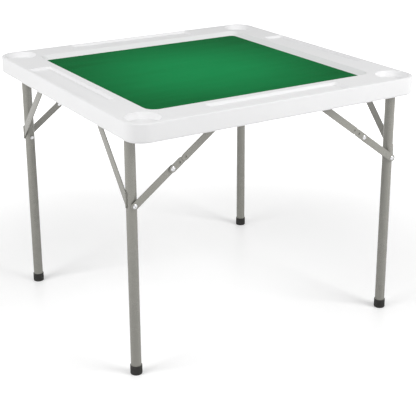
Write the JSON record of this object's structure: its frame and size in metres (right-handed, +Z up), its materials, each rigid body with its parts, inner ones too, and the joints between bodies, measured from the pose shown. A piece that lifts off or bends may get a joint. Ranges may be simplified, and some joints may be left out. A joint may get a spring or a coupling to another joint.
{
  "type": "folding card table",
  "caption": "Square folding card table with a white moulded top, green felt field, chip trays, corner cup holders and grey tube legs that fold flat on locking braces.",
  "frame": {"origin": "on the floor under the middle of the square top, standing with the legs open", "axes": "+Z up; -Y is the long front-right side in the picture and -X its left side; the leg frames hinge about axes along Y"},
  "size_m": [0.88, 0.88, 0.71],
  "materials": {
    "moulded_top": "satin moulded polyethylene",
    "felt": "short-napped green felt",
    "painted_steel": "warm grey powder coat",
    "zinc": "bright zinc plate",
    "rubber": "matt black",
    "black_plastic": "matt black"
  },
  "bodies": {
    "top": {"tabletop": "moulded_top", "felt_mat": "felt", "hinge_saddle_front_left": "painted_steel", "brace_bracket_front_left": "painted_steel", "hinge_saddle_back_left": "painted_steel", "brace_bracket_back_left": "painted_steel", "hinge_saddle_front_right": "painted_steel", "brace_bracket_front_right": "painted_steel", "hinge_saddle_back_right": "painted_steel", "brace_bracket_back_right": "painted_steel", "saddle_screws": "zinc", "bracket_screws": "zinc", "bracket_rivets": "zinc"},
    "left_leg_frame": {"cross_tube_left": "painted_steel", "cross_tube_plugs_left": "black_plastic", "leg_front_left": "painted_steel", "foot_cap_front_left": "rubber", "stiffener_front_left": "painted_steel", "leg_back_left": "painted_steel", "foot_cap_back_left": "rubber", "stiffener_back_left": "painted_steel", "stiffener_rivets_left": "zinc", "leg_bolts_left": "zinc", "leg_nuts_left": "zinc", "leg_spacers_left": "zinc"},
    "right_leg_frame": {"cross_tube_right": "painted_steel", "cross_tube_plugs_right": "black_plastic", "leg_front_right": "painted_steel", "foot_cap_front_right": "rubber", "stiffener_front_right": "painted_steel", "leg_back_right": "painted_steel", "foot_cap_back_right": "rubber", "stiffener_back_right": "painted_steel", "stiffener_rivets_right": "zinc", "leg_bolts_right": "zinc", "leg_nuts_right": "zinc", "leg_spacers_right": "zinc"},
    "lower_brace_front_left": {"lower_strap_front_left": "painted_steel", "knee_rivet_tail_front_left": "zinc"},
    "upper_brace_front_left": {"upper_strap_front_left": "painted_steel", "knee_washer_front_left": "zinc", "knee_rivet_head_front_left": "zinc"},
    "lower_brace_back_left": {"lower_strap_back_left": "painted_steel", "knee_rivet_tail_back_left": "zinc"},
    "upper_brace_back_left": {"upper_strap_back_left": "painted_steel", "knee_washer_back_left": "zinc", "knee_rivet_head_back_left": "zinc"},
    "lower_brace_front_right": {"lower_strap_front_right": "painted_steel", "knee_rivet_tail_front_right": "zinc"},
    "upper_brace_front_right": {"upper_strap_front_right": "painted_steel", "knee_washer_front_right": "zinc", "knee_rivet_head_front_right": "zinc"},
    "lower_brace_back_right": {"lower_strap_back_right": "painted_steel", "knee_rivet_tail_back_right": "zinc"},
    "upper_brace_back_right": {"upper_strap_back_right": "painted_steel", "knee_washer_back_right": "zinc", "knee_rivet_head_back_right": "zinc"}
  },
  "joints": [
    {"name": "left_leg_fold", "type": "hinge", "parent": "top", "child": "left_leg_frame", "pos_m": [-0.394, 0, 0.673], "axis": [0, -1, 0], "range_deg": [0, 90]},
    {"name": "lower_brace_turn_front_left", "type": "hinge", "parent": "left_leg_frame", "child": "lower_brace_front_left", "pos_m": [-0.394, -0.351, 0.473], "axis": [0, -1, 0], "range_deg": [0, 53.57]},
    {"name": "upper_brace_turn_front_left", "type": "hinge", "parent": "top", "child": "upper_brace_front_left", "pos_m": [-0.124, -0.351, 0.673], "axis": [0, 1, 0], "range_deg": [0, 36.63]},
    {"name": "lower_brace_turn_back_left", "type": "hinge", "parent": "left_leg_frame", "child": "lower_brace_back_left", "pos_m": [-0.394, 0.351, 0.473], "axis": [0, -1, 0], "range_deg": [0, 53.57]},
    {"name": "upper_brace_turn_back_left", "type": "hinge", "parent": "top", "child": "upper_brace_back_left", "pos_m": [-0.124, 0.351, 0.673], "axis": [0, 1, 0], "range_deg": [0, 36.63]},
    {"name": "right_leg_fold", "type": "hinge", "parent": "top", "child": "right_leg_frame", "pos_m": [0.394, 0, 0.669], "axis": [0, 1, 0], "range_deg": [0, 90]},
    {"name": "lower_brace_turn_front_right", "type": "hinge", "parent": "right_leg_frame", "child": "lower_brace_front_right", "pos_m": [0.394, -0.396, 0.469], "axis": [0, 1, 0], "range_deg": [0, 53.57]},
    {"name": "upper_brace_turn_front_right", "type": "hinge", "parent": "top", "child": "upper_brace_front_right", "pos_m": [0.124, -0.396, 0.669], "axis": [0, -1, 0], "range_deg": [0, 36.63]},
    {"name": "lower_brace_turn_back_right", "type": "hinge", "parent": "right_leg_frame", "child": "lower_brace_back_right", "pos_m": [0.394, 0.396, 0.469], "axis": [0, 1, 0], "range_deg": [0, 53.57]},
    {"name": "upper_brace_turn_back_right", "type": "hinge", "parent": "top", "child": "upper_brace_back_right", "pos_m": [0.124, 0.396, 0.669], "axis": [0, -1, 0], "range_deg": [0, 36.63]}
  ],
  "couplings": [
    {"joint": "lower_brace_turn_front_left", "follows": "left_leg_fold", "ratio": 0.59412},
    {"joint": "upper_brace_turn_front_left", "follows": "left_leg_fold", "ratio": 0.40588},
    {"joint": "lower_brace_turn_back_left", "follows": "left_leg_fold", "ratio": 0.59412},
    {"joint": "upper_brace_turn_back_left", "follows": "left_leg_fold", "ratio": 0.40588},
    {"joint": "lower_brace_turn_front_right", "follows": "right_leg_fold", "ratio": 0.59412},
    {"joint": "upper_brace_turn_front_right", "follows": "right_leg_fold", "ratio": 0.40588},
    {"joint": "lower_brace_turn_back_right", "follows": "right_leg_fold", "ratio": 0.59412},
    {"joint": "upper_brace_turn_back_right", "follows": "right_leg_fold", "ratio": 0.40588}
  ]
}
